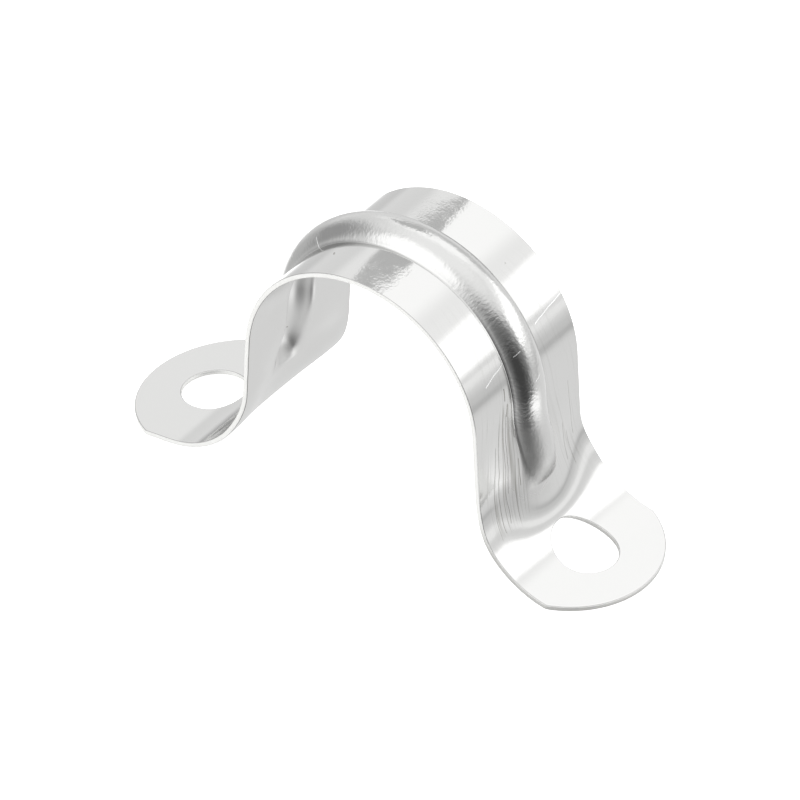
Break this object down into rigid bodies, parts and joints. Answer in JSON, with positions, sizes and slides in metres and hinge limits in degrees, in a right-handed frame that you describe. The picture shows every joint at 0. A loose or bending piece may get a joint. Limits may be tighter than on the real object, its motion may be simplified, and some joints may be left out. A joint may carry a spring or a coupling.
{
  "type": "conduit strap",
  "caption": "Two-hole saddle strap of thin stainless sheet, with a ribbed arch that holds a round conduit against a wall.",
  "frame": {"origin": "middle of the strap's length and width, on the wall that its foot tips stand on", "axes": "+X along the strap's length, +Y along the conduit, +Z away from the wall"},
  "size_m": [0.0564, 0.0176, 0.03],
  "materials": {
    "stainless_sheet": "bright polished stainless sheet with fine drawing marks"
  },
  "bodies": {
    "root": {"strap": "stainless_sheet"}
  },
  "joints": []
}
